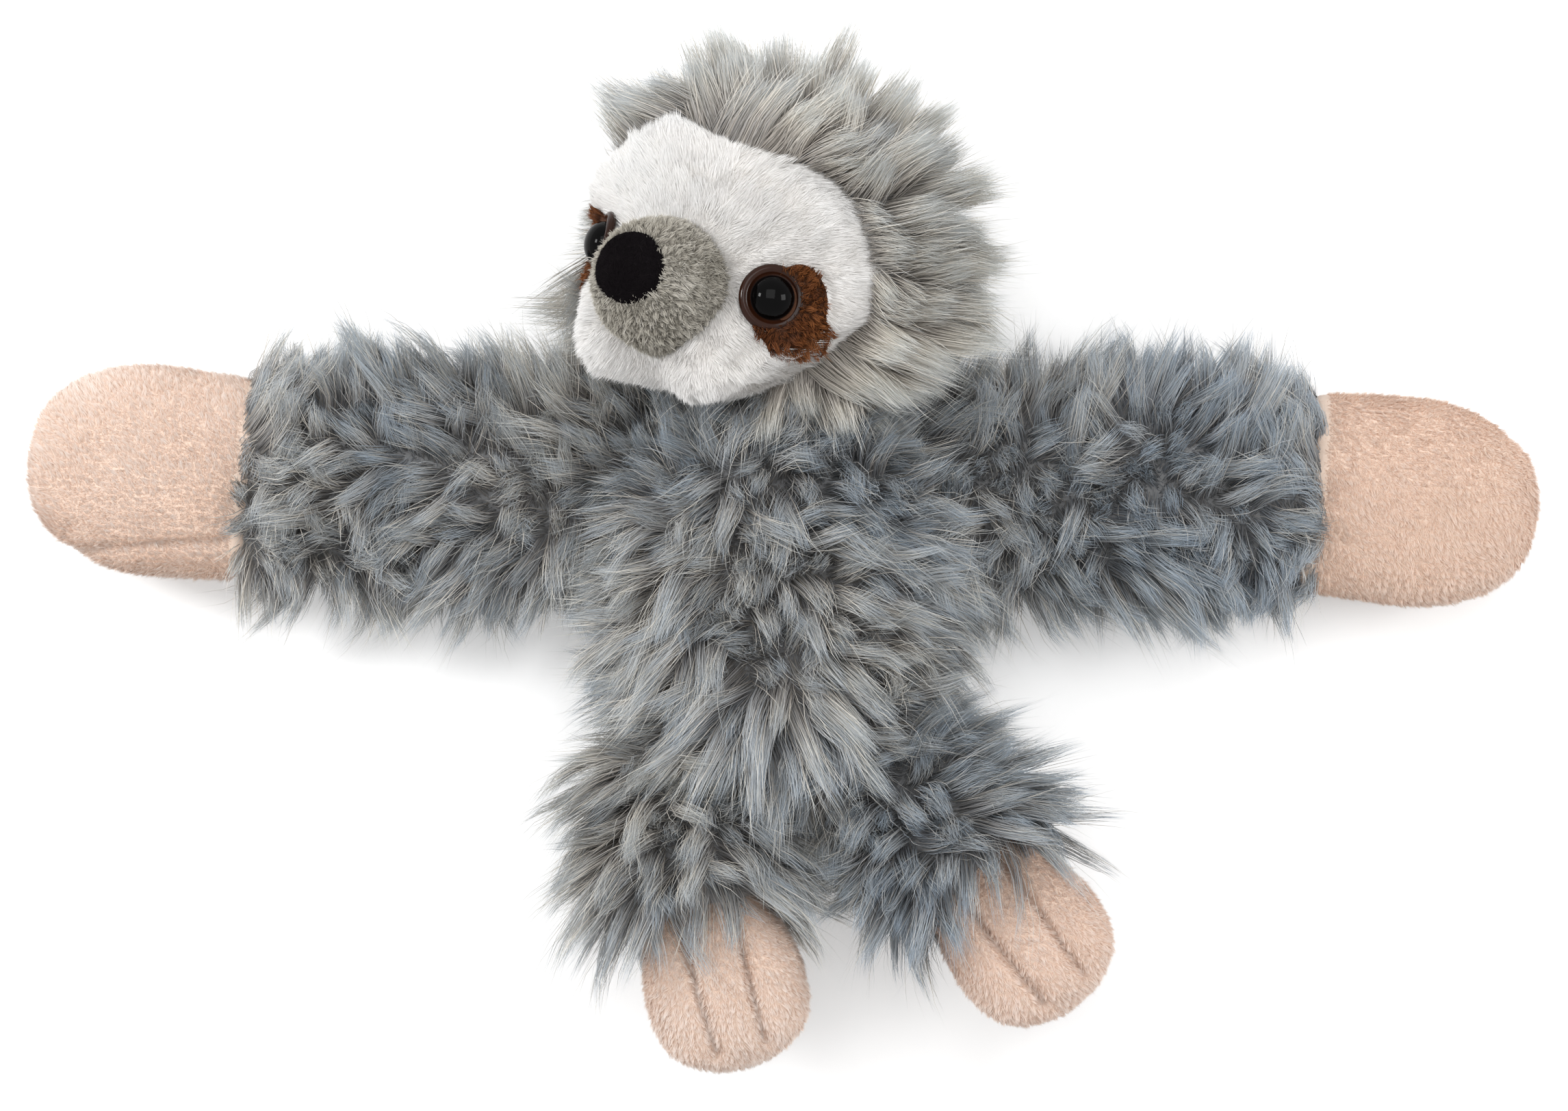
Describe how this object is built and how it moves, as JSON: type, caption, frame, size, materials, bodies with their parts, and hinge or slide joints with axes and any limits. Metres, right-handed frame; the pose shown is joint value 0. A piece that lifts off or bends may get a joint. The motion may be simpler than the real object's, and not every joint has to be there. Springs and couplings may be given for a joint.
{
  "type": "plush sloth",
  "caption": "Lying plush sloth with outstretched arms that curl up over a slap band, a turning and nodding head, and legs and feet that swing.",
  "frame": {"origin": "middle of the flat of the back, on the surface the toy lies on", "axes": "+X along the stretched arms to the toy's own left, +Y to the crown of the head, +Z out of the belly"},
  "size_m": [0.2904, 0.1909, 0.0799],
  "materials": {
    "fur": "long slate grey fur with paler tips",
    "face_plush": "short white plush",
    "muzzle_plush": "short warm grey plush",
    "brown_plush": "short brown plush",
    "velour": "peach velour",
    "nose_felt": "black felt",
    "eye_brown": "dark brown gloss",
    "eye_black": "black gloss",
    "washer_plastic": "natural",
    "fibre": "white polyester fibre",
    "spring_steel": "bare spring steel"
  },
  "bodies": {
    "torso": {"torso_front": "fur", "torso_back": "fur", "torso_fibre": "fibre", "slap_band_centre": "spring_steel"},
    "neck": {"neck_fibre": "fibre"},
    "head": {"hood_left": "fur", "hood_right": "fur", "face_panel": "face_plush", "head_stuffing": "fibre", "muzzle_cover": "muzzle_plush", "muzzle_stuffing": "fibre", "nose": "nose_felt", "eye_base_left": "eye_brown", "eye_lens_left": "eye_black", "eye_washer_left": "washer_plastic", "eye_patch_left": "brown_plush", "eye_base_right": "eye_brown", "eye_lens_right": "eye_black", "eye_washer_right": "washer_plastic", "eye_patch_right": "brown_plush"},
    "arm_1_left": {"sleeve_1_left": "fur", "arm_fibre_1_left": "fibre", "slap_band_1_left": "spring_steel"},
    "arm_2_left": {"sleeve_2_left": "fur", "arm_fibre_2_left": "fibre", "slap_band_2_left": "spring_steel"},
    "arm_3_left": {"sleeve_3_left": "fur", "arm_fibre_3_left": "fibre", "slap_band_3_left": "spring_steel"},
    "hand_left": {"hand_palm_left": "velour", "hand_back_left": "velour", "hand_fibre_left": "fibre", "slap_band_hand_left": "spring_steel"},
    "arm_1_right": {"sleeve_1_right": "fur", "arm_fibre_1_right": "fibre", "slap_band_1_right": "spring_steel"},
    "arm_2_right": {"sleeve_2_right": "fur", "arm_fibre_2_right": "fibre", "slap_band_2_right": "spring_steel"},
    "arm_3_right": {"sleeve_3_right": "fur", "arm_fibre_3_right": "fibre", "slap_band_3_right": "spring_steel"},
    "hand_right": {"hand_palm_right": "velour", "hand_back_right": "velour", "hand_fibre_right": "fibre", "slap_band_hand_right": "spring_steel"},
    "leg_left": {"leg_cover_left": "fur", "leg_fibre_left": "fibre"},
    "foot_left": {"foot_top_left": "velour", "foot_sole_left": "velour", "foot_fibre_left": "fibre"},
    "leg_right": {"leg_cover_right": "fur", "leg_fibre_right": "fibre"},
    "foot_right": {"foot_top_right": "velour", "foot_sole_right": "velour", "foot_fibre_right": "fibre"}
  },
  "joints": [
    {"name": "neck_turn", "type": "hinge", "parent": "torso", "child": "neck", "pos_m": [0, 0.037, 0.034], "axis": [0, 1, 0], "range_deg": [-20, 20]},
    {"name": "neck_nod", "type": "hinge", "parent": "neck", "child": "head", "pos_m": [0, 0.037, 0.034], "axis": [1, 0, 0], "range_deg": [-5, 10]},
    {"name": "shoulder_left", "type": "hinge", "parent": "torso", "child": "arm_1_left", "pos_m": [0.032, 0.0225, 0.0176], "axis": [0, -1, 0], "range_deg": [0, 40], "deforming": ["sleeve_1_left"]},
    {"name": "arm_bend_1_left", "type": "hinge", "parent": "arm_1_left", "child": "arm_2_left", "pos_m": [0.05567, 0.0225, 0.0176], "axis": [0, -1, 0], "range_deg": [0, 40], "deforming": ["sleeve_1_left", "sleeve_2_left"]},
    {"name": "arm_bend_2_left", "type": "hinge", "parent": "arm_2_left", "child": "arm_3_left", "pos_m": [0.07933, 0.0225, 0.0176], "axis": [0, -1, 0], "range_deg": [0, 40], "deforming": ["sleeve_2_left", "sleeve_3_left"]},
    {"name": "wrist_left", "type": "hinge", "parent": "arm_3_left", "child": "hand_left", "pos_m": [0.103, 0.0225, 0.0176], "axis": [0, -1, 0], "range_deg": [0, 40], "deforming": ["sleeve_3_left"]},
    {"name": "shoulder_right", "type": "hinge", "parent": "torso", "child": "arm_1_right", "pos_m": [-0.032, 0.0225, 0.0176], "axis": [0, 1, 0], "range_deg": [0, 40], "deforming": ["sleeve_1_right"]},
    {"name": "arm_bend_1_right", "type": "hinge", "parent": "arm_1_right", "child": "arm_2_right", "pos_m": [-0.05567, 0.0225, 0.0176], "axis": [0, 1, 0], "range_deg": [0, 40], "deforming": ["sleeve_1_right", "sleeve_2_right"]},
    {"name": "arm_bend_2_right", "type": "hinge", "parent": "arm_2_right", "child": "arm_3_right", "pos_m": [-0.07933, 0.0225, 0.0176], "axis": [0, 1, 0], "range_deg": [0, 40], "deforming": ["sleeve_2_right", "sleeve_3_right"]},
    {"name": "wrist_right", "type": "hinge", "parent": "arm_3_right", "child": "hand_right", "pos_m": [-0.103, 0.0225, 0.0176], "axis": [0, 1, 0], "range_deg": [0, 40], "deforming": ["sleeve_3_right"]},
    {"name": "hip_left", "type": "hinge", "parent": "torso", "child": "leg_left", "pos_m": [0.019, -0.031, 0.026], "axis": [-1, 0, 0], "range_deg": [-10, 35]},
    {"name": "ankle_left", "type": "hinge", "parent": "leg_left", "child": "foot_left", "pos_m": [0.03846, -0.05115, 0.03351], "axis": [0.788, 0.6157, 0], "range_deg": [-18, 18]},
    {"name": "hip_right", "type": "hinge", "parent": "torso", "child": "leg_right", "pos_m": [-0.019, -0.031, 0.026], "axis": [-1, 0, 0], "range_deg": [-10, 35]},
    {"name": "ankle_right", "type": "hinge", "parent": "leg_right", "child": "foot_right", "pos_m": [-0.01318, -0.0584, 0.03351], "axis": [0.9613, 0.2756, 0], "range_deg": [-18, 18]}
  ],
  "couplings": [
    {"joint": "arm_bend_1_left", "follows": "shoulder_left", "ratio": 1},
    {"joint": "arm_bend_2_left", "follows": "shoulder_left", "ratio": 1},
    {"joint": "wrist_left", "follows": "shoulder_left", "ratio": 1},
    {"joint": "arm_bend_1_right", "follows": "shoulder_right", "ratio": 1},
    {"joint": "arm_bend_2_right", "follows": "shoulder_right", "ratio": 1},
    {"joint": "wrist_right", "follows": "shoulder_right", "ratio": 1}
  ]
}
